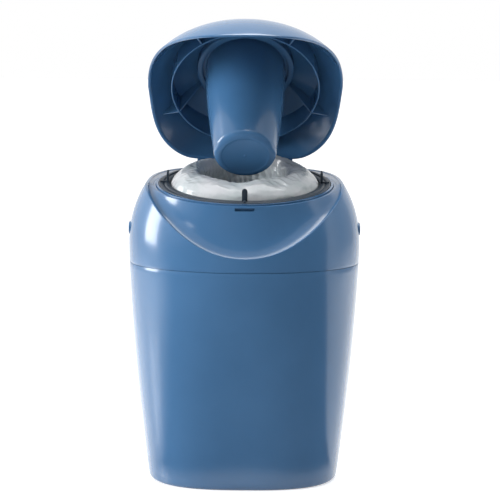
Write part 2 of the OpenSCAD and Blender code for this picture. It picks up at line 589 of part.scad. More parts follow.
// snap that meets the latch slot, inside the lid's front
catch_w = 16;
catch_t = 0.9;
function catch_y(z) = 0.6 - reach_front(z, wall + seat_gap);
module lid_catch() color(body_blue) swung() {
    foot_z = slot_z - 3;
    head_z = slot_z + 6.5;
    nose_y = -ring_lip_r * cos(deck_tilt) - 0.5;
    side_plate(0, catch_w, [[catch_y(foot_z), foot_z], [catch_y(slot_z + 2), slot_z + 2],
        [catch_y(head_z), head_z], [catch_y(head_z) + catch_t, head_z],
        [catch_y(slot_z + 1.6) + catch_t, slot_z + 1.6],
        [nose_y, slot_z + 0.5], [nose_y, slot_z - 0.7], [catch_y(slot_z - 2) + catch_t, slot_z - 2],
        [catch_y(foot_z) + catch_t, foot_z]]);
}

// ---- release buttons ----
// stadium outline pushed along x on side s, grown by g
module button_prism(s, g, x0, x1) translate([s > 0 ? x0 : -x1, 0, button_z]) rotate([90, 0, 90])
    linear_extrude(x1 - x0) polygon([for (e = [0, 180], a = [-90 : 9 : 90])
        let (r = button_h / 2 + g) [cos(e) * (button_w - button_h) / 2 + r * cos(a + e), r * sin(a + e)]]);
arm_t = 2.4;
module release_button(s) color(body_blue) {
    button_prism(s, 0, body_w / 2 - 6, body_w / 2 - 0.2);
    button_prism(s, -0.8, body_w / 2 - 1, body_w / 2 + 0.5);
    button_prism(s, 2, arm_x - arm_t, body_w / 2 - 5.6);
    mirror([s > 0 ? 0 : 1, 0, 0]) {
        translate([arm_x - arm_t, -6, strike_z - 5]) cube([arm_t, 12, button_z - strike_z]);
        translate([arm_x - 0.5, -5, strike_z - 5]) cube([strike_x - seat_gap - arm_x + 0.5, 10, 2.8]);
        translate([spring_post_end + 5.5, 0, button_z]) rotate([0, 90, 0])
            cylinder(r = spring_in - 0.4, h = arm_x - spring_post_end - 6);
    }
}
module release_button_left() release_button(-1);
module release_button_right() release_button(1);
module button_spring(s) color(steel) mirror([s > 0 ? 0 : 1, 0, 0])
    translate([spring_post_end, 0, button_z]) rotate([0, 90, 0])
        tube(spring_in, spring_out, seat_gap / 2, arm_x - arm_t - spring_post_end - seat_gap / 2);
module button_spring_left() button_spring(-1);
module button_spring_right() button_spring(1);

tub();
tub_hinge_pin();
upper_housing();
cassette_well();
well_screws();
film_gripper();
gripper_screws();
film_bag();
cutter_body();
cutter_blade();
cassette_carrier();
twist_ring();
cassette_body();
cassette_cap();
film_pack();
film_mound();
lid_shell();
lid_liner();
plunger();
lid_catch();
lid_hinge_pins();
release_button_left();
release_button_right();
button_spring_left();
button_spring_right();
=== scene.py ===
import math
import bmesh
import bpy
import numpy as np
from mathutils import Matrix, Vector, noise


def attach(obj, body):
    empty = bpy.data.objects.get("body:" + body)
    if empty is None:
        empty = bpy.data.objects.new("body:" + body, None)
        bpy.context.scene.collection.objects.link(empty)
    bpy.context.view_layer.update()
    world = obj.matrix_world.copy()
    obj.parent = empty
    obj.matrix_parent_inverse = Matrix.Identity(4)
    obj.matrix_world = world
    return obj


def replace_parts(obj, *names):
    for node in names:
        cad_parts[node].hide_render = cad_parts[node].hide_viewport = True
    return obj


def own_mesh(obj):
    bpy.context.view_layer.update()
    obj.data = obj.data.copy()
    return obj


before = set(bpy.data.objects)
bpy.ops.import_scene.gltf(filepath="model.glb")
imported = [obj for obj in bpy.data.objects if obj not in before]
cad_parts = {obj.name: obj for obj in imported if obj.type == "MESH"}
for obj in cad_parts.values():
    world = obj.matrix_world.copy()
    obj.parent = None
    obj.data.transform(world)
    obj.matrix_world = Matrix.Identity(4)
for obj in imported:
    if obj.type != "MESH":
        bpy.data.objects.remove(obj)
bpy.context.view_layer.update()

mm = 0.001
imageSize = 500

# form of the closed bin, the same values as the solids have
barrel = dict(width=246, depth=232, closedHeight=368, tubHeight=229, shoulderZ=250, wall=2.6, floorT=3,
              baseR=4, tubTaper=22.2, taperShare=0.48, depthTaper=0.78, planFloor=2.75, planFront=2.08,
              planBack=3.15, splitGap=0.4, splitIn=0.4, lipH=4.5, lipT=1.2, domeSide=2.06, domeFront=2,
              domeBack=2.9, frontLead=3)
deck = dict(z=313.5, tilt=9.2, creaseZ=313.5, crescentZ=244, rise=0.09, fall=0.15, ease=40, power=2.5,
            seatStep=4.5, seatR=94.8, lipR=97.4, frontLip=-2.2)
lidHinge = dict(y=104, z=330, open=58, flatBack=97.6, gap=0.6, knuckleR=5.2, pinHole=2.05, earAt=48.5,
                earWidth=9, lidAt=38.6, lidWidth=10)
tubHinge = dict(y=121.5, z=229.2, knuckleR=4.6, pinHole=2.55, tubAt=18.9, tubWidth=10, rearWidth=27)


def signedPow(v, p):
    return np.sign(v) * np.abs(v) ** p


def arch(s, p):
    return np.maximum(0, 1 - np.maximum(0, s) ** p) ** (1 / p)


def mix(a, b, f):
    return a + (b - a) * f


def smooth(f):
    c = np.clip(f, 0, 1)
    return c * c * (3 - 2 * c)


def tubIn(z):
    low = 1 - z / barrel["tubHeight"]
    return barrel["tubTaper"] * (barrel["taperShare"] * low + (1 - barrel["taperShare"]) * low * low)


def reachX(z, g):
    half, shoulder, rim = barrel["width"] / 2, barrel["shoulderZ"], barrel["tubHeight"]
    tub = half - barrel["splitIn"] - g - tubIn(z)
    neck = half - g - barrel["splitIn"] * ((shoulder - z) / (shoulder - rim)) ** 2
    dome = (half - g) * arch((z - shoulder) / (barrel["closedHeight"] - g - shoulder), barrel["domeSide"])
    return np.where(z < rim, tub, np.where(z < shoulder, neck, dome))


def reachFront(z, g):
    half, rim, lead = barrel["depth"] / 2, barrel["tubHeight"], barrel["frontLead"]
    tub = half - g - barrel["depthTaper"] * tubIn(z)
    share = (z - rim + lead) / (barrel["closedHeight"] - g - rim + lead)
    return np.where(z < rim, tub, (half - g) * arch(share, barrel["domeFront"]))


def reachBack(z, g):
    half, shoulder, rim = barrel["depth"] / 2, barrel["shoulderZ"], barrel["tubHeight"]
    tub = half - g - barrel["depthTaper"] * tubIn(z)
    dome = (half - g) * arch((z - shoulder) / (barrel["closedHeight"] - g - shoulder), barrel["domeBack"])
    return np.where(z < rim, tub, np.where(z < shoulder, half - g, dome))


def squareness(t, z):
    top = mix(barrel["planFront"], barrel["planBack"], smooth(0.55 + 5.7 * np.sin(t)))
    return mix(barrel["planFloor"], top, np.minimum(1, z / barrel["tubHeight"]))


def formPoint(t, z, g=0.0):
    # point of the barrel at the plan angle t and height z, drawn in by g
    z = z + 0 * t
    g = g + 0 * t
    p = 2 / squareness(t, z)
    s = signedPow(np.sin(t), p)
    y = s * np.where(s < 0, reachFront(z, g), reachBack(z, g))
    return np.stack([reachX(z, g) * signedPow(np.cos(t), p), y, z], -1)


def seamZ(y):
    # flat deck at the back, a crescent at the front and a rounded crease between them
    half, ease = barrel["depth"] / 2 - 1, deck["ease"]
    fall = deck["creaseZ"] - deck["crescentZ"] - deck["fall"] * half
    before = np.where(y > ease, 0, np.where(y < -ease, -y, (ease - y) ** 2 / 4 / ease))
    return (deck["creaseZ"] + deck["rise"] * y - (deck["fall"] - deck["rise"]) * before
            - fall * (np.maximum(0, -y) / half) ** deck["power"])


def seamAt(t, g=0.0, lift=0.0):
    z = 280 + 0 * t
    for _ in range(24):
        z = mix(z, seamZ(formPoint(t, z, g)[..., 1]) + lift, 0.7)
    return z


tilt = math.radians(deck["tilt"])


def onDeck(x, u, d):
    # frame of the twist ring: across, up its slope and square to its tilted plane
    return np.stack([x + 0 * d, u * math.cos(tilt) - d * math.sin(tilt),
                     deck["z"] + u * math.sin(tilt) + d * math.cos(tilt)], -1)


def deckPoint(r, a, d):
    return onDeck(r * np.cos(a), r * np.sin(a), d)


def swung(points):
    # from the closed lid to the open one
    a = math.radians(lidHinge["open"])
    y, z = points[..., 1] - lidHinge["y"], points[..., 2] - lidHinge["z"]
    return np.stack([points[..., 0], lidHinge["y"] + y * math.cos(a) + z * math.sin(a),
                     lidHinge["z"] - y * math.sin(a) + z * math.cos(a)], -1)


def turns(count, offset=0.0):
    return (np.arange(count) + offset) * 2 * math.pi / count


def circle(y, z, r, count):
    return [(y + r * math.cos(a), z + r * math.sin(a)) for a in turns(count)]


sides = (("left", -1), ("right", 1))


def spanOf(side, inner, outer):
    # the two ends of a piece that lies between two distances from the middle, lowest first
    return sorted((side * inner, side * outer))


# mesh helpers
def newObject(name, data):
    thing = bpy.data.objects.new(name, data)
    bpy.context.scene.collection.objects.link(thing)
    return thing


def turnedOut(mesh, weld=0.0):
    # every face looks outwards, and points closer than the weld become one
    shape = bmesh.new()
    shape.from_mesh(mesh)
    if weld:
        bmesh.ops.remove_doubles(shape, verts=shape.verts, dist=weld * mm)
    bmesh.ops.recalc_face_normals(shape, faces=shape.faces)
    shape.to_mesh(mesh)
    shape.free()


def smoothed(piece, sharp=34):
    piece.data.shade_smooth()
    piece.data.set_sharp_from_angle(angle=math.radians(sharp))


def belongs(piece, body):
    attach(piece, body)
    return piece


def meshPiece(name, points, faces, body, finish, slot, sharp=34, weld=0.0):
    mesh = bpy.data.meshes.new(name)
    mesh.from_pydata((np.asarray(points, float).reshape(-1, 3) * mm).tolist(), [], faces)
    mesh.validate()
    turnedOut(mesh, weld)
    piece = newObject(name, mesh)
    mesh.materials.append(finish)
    smoothed(piece, sharp)
    return belongs(piece, body)


def stackFaces(rings, across, loop=False, caps=(False, False)):
    faces = []
    for k in range(rings if loop else rings - 1):
        a, b = k * across, (k + 1) % rings * across
        for i in range(across):
            j = (i + 1) % across
            faces.append((a + i, a + j, b + j, b + i))
    if caps[0]:
        faces.append(tuple(range(across - 1, -1, -1)))
    if caps[1]:
        faces.append(tuple(range((rings - 1) * across, rings * across)))
    return faces


def stacked(name, rings, body, finish, slot, loop=False, caps=(False, False), **more):
    rings = [np.asarray(r) for r in rings]
    faces = stackFaces(len(rings), len(rings[0]), loop, caps)
    return meshPiece(name, np.concatenate(rings), faces, body, finish, slot, **more)


def rounded(profile, radii, steps=4):
    # open outline with its inner corners rounded
    out = [np.array(profile[0], float)]
    for before, corner, after, r in zip(profile[:-2], profile[1:-1], profile[2:], radii):
        before, corner, after = (np.array(p, float) for p in (before, corner, after))
        u, v = before - corner, after - corner
        reach = min(r, 0.48 * np.linalg.norm(u), 0.48 * np.linalg.norm(v))
        if reach < 1e-6:
            out.append(corner)
            continue
        a, b = corner + u / np.linalg.norm(u) * reach, corner + v / np.linalg.norm(v) * reach
        for k in range(steps + 1):
            f = k / steps
            out.append((1 - f) ** 2 * a + 2 * f * (1 - f) * corner + f * f * b)
    out.append(np.array(profile[-1], float))
    return out


def closedProfile(profile, r, steps=3):
    # closed outline with every corner rounded
    n = len(profile)
    out = []
    for i in range(n):
        radius = r[i] if isinstance(r, (list, tuple)) else r
        out += rounded([profile[i - 1], profile[i], profile[(i + 1) % n]], [radius], steps)[1:-1]
    return out


def lathe(name, profile, body, finish, slot, around=192, where=deckPoint, **more):
    a = turns(around)
    rings = [where(np.full(around, p[0]), a, np.full(around, p[1])) for p in profile]
    return stacked(name, rings, body, finish, slot, loop=True, **more)


def eased(piece, width, segments=3):
    # edges over 40 degrees rounded, and the result kept as the piece's own mesh
    cut = piece.modifiers.new("edges", "BEVEL")
    cut.width, cut.segments, cut.limit_method = width * mm, segments, "ANGLE"
    cut.angle_limit = math.radians(40)
    cut.harden_normals = True
    settle(piece)


def settle(piece):
    # keep what the modifiers make
    graph = bpy.context.evaluated_depsgraph_get()
    made = bpy.data.meshes.new_from_object(piece.evaluated_get(graph))
    piece.modifiers.clear()
    piece.data = made


def prism(name, outline, low, high, along="x", finish=None):
    # outline pushed between two places along an axis; a cutter when it has no finish
    n = len(outline)
    rows = [(d, p, q) if along == "x" else (p, d, q) for d in (low, high) for p, q in outline]
    faces = [tuple(range(n - 1, -1, -1)), tuple(range(n, 2 * n))]
    faces += [(i, (i + 1) % n, n + (i + 1) % n, n + i) for i in range(n)]
    mesh = bpy.data.meshes.new(name)
    mesh.from_pydata((np.array(rows, float) * mm).tolist(), [], faces)
    turnedOut(mesh)
    if finish:
        mesh.materials.append(finish)
    return newObject(name, mesh)


def movePoints(piece, rule):
    # every point of the mesh to where the rule puts it
    points = np.array([v.co for v in piece.data.vertices]) / mm
    for v, p in zip(piece.data.vertices, rule(points) * mm):
        v.co = p


def cutBy(piece, cutters):
    for cutter in cutters:
        step = piece.modifiers.new("cut", "BOOLEAN")
        step.operation, step.solver, step.object = "DIFFERENCE", "EXACT", cutter
    settle(piece)
    for cutter in cutters:
        bpy.data.objects.remove(cutter)
    smoothed(piece)


def joined(pieces):
    # one mesh out of several
    shape = bmesh.new()
    for piece in pieces:
        bpy.context.view_layer.update()
        start = len(shape.verts)
        shape.from_mesh(piece.data)
        shape.verts.ensure_lookup_table()
        for v in shape.verts[start:]:
            v.co = piece.matrix_world @ v.co
    shape.to_mesh(pieces[0].data)
    shape.free()
    pieces[0].matrix_world = Matrix.Identity(4)
    for piece in pieces[1:]:
        bpy.data.objects.remove(piece)


def box(left, right, low, high):
    return [(left, low), (right, low), (right, high), (left, high)]


def stadium(width, height, grow, centre, count=12):
    r, half = height / 2 + grow, (width - height) / 2
    out = []
    for end in (0, math.pi):
        for k in range(count + 1):
            a = end - math.pi / 2 + k * math.pi / count
            out.append((centre[0] + math.cos(end) * half + r * math.cos(a), centre[1] + r * math.sin(a)))
    return out


def hull(points):
    # outline round a few points, in order
    pts = sorted(set((round(float(x), 5), round(float(y), 5)) for x, y in points))

    def half(seq):
        out = []
        for p in seq:
            while len(out) > 1 and ((out[-1][0] - out[-2][0]) * (p[1] - out[-2][1])
                                    - (out[-1][1] - out[-2][1]) * (p[0] - out[-2][0])) <= 0:
                out.pop()
            out.append(p)
        return out
    return half(pts)[:-1] + half(pts[::-1])[:-1]


# finishes
def emptyFinish(name):
    finish = bpy.data.materials.new(name)
    finish.use_nodes = True
    tree = finish.node_tree
    tree.nodes.clear()
    return finish, tree, tree.nodes.new("ShaderNodeOutputMaterial")


def newFinish(name):
    finish, tree, out = emptyFinish(name)
    shader = tree.nodes.new("ShaderNodeBsdfPrincipled")
    tree.links.new(shader.outputs[0], out.inputs[0])
    return finish, tree, shader


def noiseNode(tree, where, scale, detail=3.0, rough=0.5, stretch=None):
    node = tree.nodes.new("ShaderNodeTexNoise")
    node.inputs["Scale"].default_value = scale
    node.inputs["Detail"].default_value = detail
    node.inputs["Roughness"].default_value = rough
    source = where
    if stretch:
        turn = tree.nodes.new("ShaderNodeMapping")
        turn.inputs["Scale"].default_value = stretch
        tree.links.new(where, turn.inputs[0])
        source = turn.outputs[0]
    tree.links.new(source, node.inputs["Vector"])
    return node.outputs["Fac"]


def ramp(tree, value, stops):
    node = tree.nodes.new("ShaderNodeValToRGB")
    bands = node.color_ramp
    while len(bands.elements) < len(stops):
        bands.elements.new(0.5)
    for band, (at, colour) in zip(bands.elements, stops):
        band.position = at
        band.color = (*colour, 1)
    tree.links.new(value, node.inputs[0])
    return node.outputs[0]


def level(tree, value, low, high):
    node = tree.nodes.new("ShaderNodeMapRange")
    node.inputs["To Min"].default_value, node.inputs["To Max"].default_value = low, high
    tree.links.new(value, node.inputs["Value"])
    return node.outputs[0]


def bumps(tree, shader, layers):
    # each layer: height, strength, depth in millimetres
    last = None
    for height, strength, depth in layers:
        node = tree.nodes.new("ShaderNodeBump")
        node.inputs["Strength"].default_value = strength
        node.inputs["Distance"].default_value = depth * mm
        tree.links.new(height, node.inputs["Height"])
        if last:
            tree.links.new(last, node.inputs["Normal"])
        last = node.outputs[0]
    tree.links.new(last, shader.inputs["Normal"])


def onObject(tree):
    return tree.nodes.new("ShaderNodeTexCoord").outputs["Object"]


gloss = dict(dark=(0.040, 0.118, 0.245), light=(0.050, 0.136, 0.275), rough=(0.17, 0.24), coat=0.2)


def mouldedGloss(name, dark, light, rough, coat, flow=9.0):
    # injection-moulded gloss plastic: faint flow clouds, fine orange peel and a few soft scuffs
    finish, tree, shader = newFinish(name)
    where = onObject(tree)
    clouds = noiseNode(tree, where, flow, 4)
    grain = noiseNode(tree, where, 2600, 2)
    peel = noiseNode(tree, where, 240, 2)
    scuffs = noiseNode(tree, where, 60, 6, 0.7, stretch=(1, 1, 7))
    shade = ramp(tree, clouds, [(0.3, dark), (0.7, light)])
    tree.links.new(shade, shader.inputs["Base Color"])
    tree.links.new(level(tree, scuffs, *rough), shader.inputs["Roughness"])
    bumps(tree, shader, [(peel, 0.05, 0.06), (grain, 0.05, 0.01)])
    shader.inputs["Coat Weight"].default_value = coat
    shader.inputs["Coat Roughness"].default_value = 0.06
    shader.inputs["IOR"].default_value = 1.5
    return finish


def mouldedSatin(name, dark, light, rough):
    # fine spark-eroded texture with small variations
    finish, tree, shader = newFinish(name)
    where = onObject(tree)
    clouds = noiseNode(tree, where, 22, 4)
    grain = noiseNode(tree, where, 1500, 3, 0.6)
    tree.links.new(ramp(tree, clouds, [(0.3, dark), (0.72, light)]), shader.inputs["Base Color"])
    tree.links.new(level(tree, grain, *rough), shader.inputs["Roughness"])
    bumps(tree, shader, [(grain, 0.25, 0.03)])
    return finish


def brushedSteel(name):
    finish, tree, shader = newFinish(name)
    where = onObject(tree)
    brushed = noiseNode(tree, where, 300, 3, 0.6, stretch=(1, 12, 12))
    tree.links.new(ramp(tree, brushed, [(0.3, (0.50, 0.51, 0.53)), (0.7, (0.68, 0.69, 0.71))]),
                   shader.inputs["Base Color"])
    tree.links.new(level(tree, brushed, 0.25, 0.42), shader.inputs["Roughness"])
    bumps(tree, shader, [(brushed, 0.2, 0.02)])
    shader.inputs["Metallic"].default_value = 1
    return finish


def creasedFilm(name, pale, shade, alpha):
    # thin polythene: milky where it lies double, covered in small creases, with greyer clouds laid at random
    # by noise as painted shade for the shadow in its hollows
    finish, tree, shader = newFinish(name)
    where = onObject(tree)
    clouds = noiseNode(tree, where, 34, 5, 0.6)
    ridges = tree.nodes.new("ShaderNodeTexVoronoi")
    ridges.feature = "DISTANCE_TO_EDGE"
    ridges.inputs["Scale"].default_value = 150
    warp = tree.nodes.new("ShaderNodeVectorMath")   # bends the ridges a little
    warp.operation = "MULTIPLY_ADD"
    soft = tree.nodes.new("ShaderNodeTexNoise")
    soft.inputs["Scale"].default_value = 60
    tree.links.new(where, soft.inputs["Vector"])
    tree.links.new(soft.outputs["Color"], warp.inputs[0])
    warp.inputs[1].default_value = (0.012, 0.012, 0.012)
    tree.links.new(where, warp.inputs[2])
    tree.links.new(warp.outputs[0], ridges.inputs["Vector"])
    fine = noiseNode(tree, where, 420, 4, 0.6)
    # the darker colour is painted shade for the film's hollows, placed at random by the clouds
    tree.links.new(ramp(tree, clouds, [(0.28, shade), (0.62, pale)]), shader.inputs["Base Color"])
    tree.links.new(level(tree, fine, 0.14, 0.27), shader.inputs["Roughness"])
    bumps(tree, shader, [(ridges.outputs["Distance"], 0.12, 0.4), (fine, 0.06, 0.08)])
    shader.inputs["Alpha"].default_value = alpha
    shader.inputs["IOR"].default_value = 1.5
    shader.inputs["Subsurface Weight"].default_value = 0.35
    shader.inputs["Subsurface Radius"].default_value = (0.004, 0.004, 0.004)
    return finish


blueGloss = mouldedGloss("blue_gloss_plastic", **gloss)
greySatin = mouldedSatin("dark_grey_satin_plastic", (0.016, 0.027, 0.042), (0.027, 0.042, 0.060), (0.32, 0.5))
greenPlain = mouldedSatin("pale_green_plastic", (0.24, 0.42, 0.36), (0.31, 0.50, 0.43), (0.34, 0.5))
zincSteel = brushedSteel("zinc_plated_steel")
# the second colour of each film is its painted shade
filmOver = creasedFilm("creased_film", (0.56, 0.575, 0.60), (0.38, 0.44, 0.455), 0.94)
filmFolded = creasedFilm("folded_film", (0.56, 0.585, 0.60), (0.42, 0.47, 0.48), 1.0)
print("finishes made")

# camera
view = dict(place=(0, -2.200, 0.484), down=6.311, roll=-0.41, focal=2065, axisX=245.9)
sensor = 36
camera = newObject("camera", bpy.data.cameras.new("camera"))
camera.location = view["place"]
camera.rotation_euler = (math.radians(90 - view["down"]), math.radians(view["roll"]), 0)
camera.data.sensor_width = sensor
camera.data.lens = view["focal"] / imageSize * sensor
camera.data.shift_x = (imageSize / 2 - view["axisX"]) / imageSize
bpy.context.scene.camera = camera

# tub
tubLook = dict(around=320, sideRows=44, edge=0.2, footRecess=0.8, footWidth=16)


def tubShell():
    t = turns(tubLook["around"])
    wall, rim, base, e = barrel["wall"], barrel["tubHeight"], barrel["baseR"], tubLook["edge"]
    rows = [(tubLook["footRecess"], base + tubLook["footWidth"] + 30),
            (tubLook["footRecess"], base + tubLook["footWidth"] + 1), (0, base + tubLook["footWidth"])]
    rows += [(base * (1 - math.cos(a)), base * (1 - math.sin(a))) for a in np.radians(np.linspace(0, 90, 9))]
    rows += [(z, 0) for z in np.linspace(base, rim - e, tubLook["sideRows"])[1:]]
    rows += [(rim - e * 0.3, e * 0.3), (rim, e), (rim, wall - barrel["lipT"])]
    rings = [formPoint(t, z + 0 * t, g) for z, g in rows]
    lipOuter, lipTop = wall - barrel["lipT"], rim + barrel["lipH"]
    lip = ((lipOuter, lipTop - 0.3), (lipOuter + 0.3, lipTop), (wall - 0.2, lipTop), (wall, lipTop - 0.2))
    for g, z in lip:
        ring = formPoint(t, rim - 1e-6 + 0 * t, g)
        ring[:, 2] = z
        rings.append(ring)
    floor, inner = barrel["floorT"], base - wall
    rings += [formPoint(t, z + 0 * t, wall) for z in np.linspace(rim - 1e-6, base + floor, 24)]
    rings += [formPoint(t, floor + base * (1 - math.cos(a)) + 0 * t, wall + inner * (1 - math.sin(a)))
              for a in np.radians(np.linspace(75, 0, 6))]
    return stacked("tub_shell", rings, "tub", blueGloss, "body_blue", caps=(True, True))


def knuckle(name, x, width, hinge, web, body, turned=False):
    # one hinge knuckle with its web, its edges eased
    y, z = hinge["y"], hinge["z"]
    outline = hull(circle(y, z, hinge["knuckleR"], 48) + web)
    piece = prism(name, outline, x - width / 2, x + width / 2, finish=blueGloss)
    bore = prism(name + "_bore", circle(y, z, hinge["pinHole"], 32), x - width, x + width)
    eased(piece, 0.7)
    cutBy(piece, [bore])
    if turned:
        movePoints(piece, swung)
    belongs(piece, body)


strikeLook = dict(halfWidth=8, low=220.5, high=223.5, inner=114.8, outer=120.6)


def latchStrike(name, side):
    p = strikeLook
    outline = box(-p["halfWidth"], p["halfWidth"], p["low"], p["high"])
    strike = prism(name, outline, *spanOf(side, p["inner"], p["outer"]), finish=blueGloss)
    eased(strike, 0.5, 2)
    belongs(strike, "tub")


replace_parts(tubShell(), "tub")
outerWall = (barrel["depth"] - barrel["wall"]) / 2
for name, side in sides:
    below = [(outerWall, tubHinge["z"] - 3 * tubHinge["knuckleR"]), (outerWall, tubHinge["z"] - 1.5)]
    knuckle("tub_knuckle_" + name, side * tubHinge["tubAt"], tubHinge["tubWidth"], tubHinge, below, "tub")
for name, side in sides:
    latchStrike("latch_strike_" + name, side)
print("tub made")

# top half
housingLook = dict(around=400, sideRows=34, scoopRows=26, edge=0.3, cove=0.55)


def scoopShare(a):
    # share of the full scoop at a plan angle: all of it at the front, none at the back
    return smooth(-np.sin(a) * 2.2)


def seatDrop(a):
    # how far the scoop's foot lies under the seam
    return 0.8 + (deck["seatStep"] - 0.8) * smooth(-np.sin(a) * 4) * smooth((0.86 + np.sin(a)) * 3)


def lipDepth(r, a):
    # the ring's lip follows its tilted plane in front and the flat deck at the back
    y = r * np.sin(a)
    flat = (deck["creaseZ"] - 1 + deck["rise"] * y - deck["z"] - y * math.sin(tilt)) / math.cos(tilt)
    return np.minimum(deck["frontLip"], flat)


def lipPoint(r, a, drop=0.0):
    return deckPoint(r + 0 * a, a, lipDepth(r, a) - drop)


def scoopPoint(t, f, thick=0.0):
    # from the ring's lip (f 0) down to the seam's foot (f 1), on the outer face or a wall under it
    zSeam = seamAt(t)
    q = formPoint(t, zSeam, barrel["wall"] + 0.6)
    a = np.arctan2(q[:, 1], q[:, 0])
    w = scoopShare(a)[:, None]
    top = lipPoint(deck["lipR"], t)
    foot = np.stack([q[:, 0], q[:, 1], zSeam - seatDrop(a)], -1)
    cove = np.stack([top[:, 0] * 1.012, top[:, 1] * 1.012, foot[:, 2] + 2], -1)
    bend = mix((top + foot) / 2, cove, housingLook["cove"] * w)
    p = (1 - f) ** 2 * top + 2 * f * (1 - f) * bend + f * f * foot
    turn = np.pi / 2 * mix(1, f, w[:, 0])
    return p - thick * np.stack([np.cos(turn) * np.cos(a), np.cos(turn) * np.sin(a), np.sin(turn)], -1)


def housingShell():
    t = turns(housingLook["around"])
    wall, e = barrel["wall"], housingLook["edge"]
    low = barrel["tubHeight"] + barrel["splitGap"]
    zSeam = seamAt(t)
    q = formPoint(t, zSeam)
    a = np.arctan2(q[:, 1], q[:, 0])
    rings = [formPoint(t, low + 0 * t, e), formPoint(t, low + 0.3 * e + 0 * t, 0.3 * e)]
    for share in np.linspace(0, 1, housingLook["sideRows"]):
        rings.append(formPoint(t, mix(low + e, zSeam - e, share), 0))
    rings += [formPoint(t, zSeam - 0.3 * e, 0.3 * e), formPoint(t, zSeam, e)]
    inRim, inner = formPoint(t, zSeam, wall - 0.3), formPoint(t, zSeam, wall)
    rings += [inRim - [0, 0, 0.1], inner - [0, 0, 0.5]]
    foot = formPoint(t, zSeam, wall + 0.6)
    foot[:, 2] -= seatDrop(a)
    rings += [mix(inner, foot, 0.8), foot]
    count = housingLook["scoopRows"]
    rings += [scoopPoint(t, k / (count + 1)) for k in range(count, 0, -1)]
    lip = deck["lipR"], deck["seatR"]
    rings += [lipPoint(lip[0] + 0.1, t, 0.25), lipPoint(lip[0] - 0.35, t, 0), lipPoint(lip[1] + 0.35, t, 0),
              lipPoint(lip[1], t, 0.35), lipPoint(lip[1], t, wall + 1)]
    rings += [scoopPoint(t, k / 8, wall) for k in range(1, 8)]
    top = zSeam - seatDrop(a) - wall
    step = low + barrel["lipH"] + 0.6
    rings += [formPoint(t, mix(step, top, s), wall) for s in (1, 0.66, 0.33)]
    rebate = wall - barrel["lipT"] - 0.3
    for g, z in ((wall, step), (rebate, step), (rebate, low + 0.2)):
        ring = formPoint(t, barrel["tubHeight"] + 0 * t, g)
        ring[:, 2] = z
        rings.append(ring)
    return stacked("housing_shell", rings, "housing", blueGloss, "body_blue", loop=True)


button = dict(width=26, height=13, z=264.5, gap=0.5, pocket=(111, 130))
catchSlot = dict(width=20, height=3, z=292.5, corner=0.8, front=-105, back=-89)
housingPiece = housingShell()
slotBox = box(-catchSlot["width"] / 2, catchSlot["width"] / 2, catchSlot["z"] - catchSlot["height"] / 2,
              catchSlot["z"] + catchSlot["height"] / 2)
slotLine = closedProfile(slotBox, catchSlot["corner"], 4)
slotCutter = prism("slot_cutter", slotLine, catchSlot["front"], catchSlot["back"], along="y")
pocketLine = stadium(button["width"], button["height"], button["gap"], (0, button["z"]))
pockets = [prism("pocket", pocketLine, *spanOf(side, *button["pocket"])) for side in (1, -1)]
cutBy(housingPiece, [slotCutter] + pockets)
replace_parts(housingPiece, "upper_housing")

earFoot = [(99.3, 317.5), (107.7, 316.5)]
for name, side in sides:
    knuckle("lid_ear_" + name, side * lidHinge["earAt"], lidHinge["earWidth"], lidHinge, earFoot, "housing")
above = [(outerWall, tubHinge["z"] + 1.5), (outerWall, tubHinge["z"] + 3 * tubHinge["knuckleR"])]
knuckle("rear_knuckle", 0, tubHinge["rearWidth"], tubHinge, above, "housing")
print("top half made")

# lid
lidLook = dict(around=420, rows=64, edge=0.7, softness=1.6, crown=0.4)


def lidPoint(t, z, g):
    p = formPoint(t, z, g)
    s, back = lidLook["softness"], lidHinge["flatBack"] - g
    p[:, 1] = -s * np.logaddexp(-p[:, 1] / s, -back / s)   # soft corner where the flat back begins
    return p


def lidRim(t):
    gap = lidHinge["gap"]
    return np.minimum(seamAt(t, 0.0, gap), seamZ(np.array(lidHinge["flatBack"])) + gap)


def lidShell():
    t = turns(lidLook["around"], 0.5)
    low, e, wall = lidRim(t), lidLook["edge"], barrel["wall"]
    top = barrel["closedHeight"] - lidLook["crown"]
    rings = []
    for k in range(lidLook["rows"], -1, -1):
        share = math.sin(math.pi / 2 * k / lidLook["rows"])
        rings.append(lidPoint(t, mix(low + e, top, share), 0))
    rings += [lidPoint(t, low + 0.3 * e, 0.3 * e), lidPoint(t, low, e), lidPoint(t, low, wall - e),
              lidPoint(t, low + 0.3 * e, wall - 0.3 * e)]
    for k in range(lidLook["rows"] + 1):
        share = math.sin(math.pi / 2 * k / lidLook["rows"])
        rings.append(lidPoint(t, mix(low + e, top - wall, share), wall))
    return stacked("lid_dome", [swung(r) for r in rings], "lid", blueGloss, "body_blue", caps=(True, True))


def underDome(p, g):
    # whether points lie under the dome's inner face
    z = np.minimum(p[..., 2], barrel["closedHeight"] - g - 0.01)
    front = p[..., 1] < 0
    t = np.arctan2(p[..., 1] / np.where(front, reachFront(z, g), reachBack(z, g)),
                   p[..., 0] / reachX(z, g))
    n = squareness(t, z)
    for _ in range(4):
        ry = np.where(front, reachFront(z, g), reachBack(z, g))
        u, v = np.abs(p[..., 0]) / reachX(z, g), np.abs(p[..., 1]) / ry
        t = np.arctan2(np.sign(p[..., 1]) * v ** (n / 2), np.sign(p[..., 0]) * u ** (n / 2))
        n = squareness(t, z)
    inside = u ** n + v ** n < 1
    return inside & (p[..., 1] < lidHinge["flatBack"] - g) & (p[..., 2] < barrel["closedHeight"] - g)


def domeAbove(r, a, g):
    # height above the ring's plane where a line square to it meets the dome, found by halving
    low, high = np.zeros_like(a + r), np.full_like(a + r, 60.0)
    for _ in range(26):
        mid = (low + high) / 2
        inside = underDome(deckPoint(r, a, mid), g)
        low, high = np.where(inside, mid, low), np.where(inside, high, mid)
    return low


